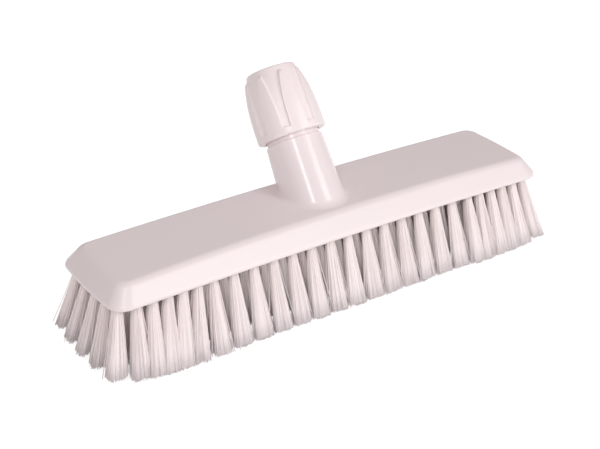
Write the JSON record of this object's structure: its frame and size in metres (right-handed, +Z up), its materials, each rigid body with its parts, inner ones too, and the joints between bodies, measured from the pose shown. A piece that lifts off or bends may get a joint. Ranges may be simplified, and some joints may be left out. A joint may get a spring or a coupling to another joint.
{
  "type": "deck brush head",
  "caption": "Long scrubbing brush head with a tilted socket, a ribbed screw collar that grips a round handle, and rows of stiff flared bristle tufts underneath.",
  "frame": {"origin": "middle of the overall length and width, at the height of the bristle tips", "axes": "+X along the brush, +Y towards the back, where the socket leans, +Z up"},
  "size_m": [0.3176, 0.0998, 0.1328],
  "materials": {
    "block_plastic": "smooth glossy white moulding",
    "collar_plastic": "smooth glossy white moulding",
    "sleeve_plastic": "satin natural plastic",
    "filament": "satin off-white filaments"
  },
  "bodies": {
    "block": {"brush_block": "block_plastic", "bristle_column_01": "filament", "bristle_column_02": "filament", "bristle_column_03": "filament", "bristle_column_04": "filament", "bristle_column_05": "filament", "bristle_column_06": "filament", "bristle_column_07": "filament", "bristle_column_08": "filament", "bristle_column_09": "filament", "bristle_column_10": "filament", "bristle_column_11": "filament", "bristle_column_12": "filament", "bristle_column_13": "filament", "bristle_column_14": "filament", "bristle_column_15": "filament", "bristle_column_16": "filament", "bristle_column_17": "filament", "bristle_column_18": "filament", "bristle_column_19": "filament", "bristle_column_20": "filament", "bristle_column_21": "filament", "bristle_column_22": "filament", "bristle_column_23": "filament", "bristle_column_24": "filament", "bristle_column_25": "filament", "bristle_column_26": "filament"},
    "gripper": {"gripper_sleeve": "sleeve_plastic"},
    "collar": {"locking_collar": "collar_plastic"}
  },
  "joints": [
    {"name": "gripper_slide", "type": "slide", "parent": "block", "child": "gripper", "axis": [0, 0.585, 0.8111], "range_m": [-0.002, 0.008]},
    {"name": "collar_screw", "type": "hinge", "parent": "gripper", "child": "collar", "pos_m": [0, -0.00725, 0.06215], "axis": [0, 0.585, 0.8111], "range_deg": [-180, 720]}
  ],
  "couplings": [
    {"joint": "gripper_slide", "follows": "collar_screw", "m_per_rad": 0.0006366}
  ]
}
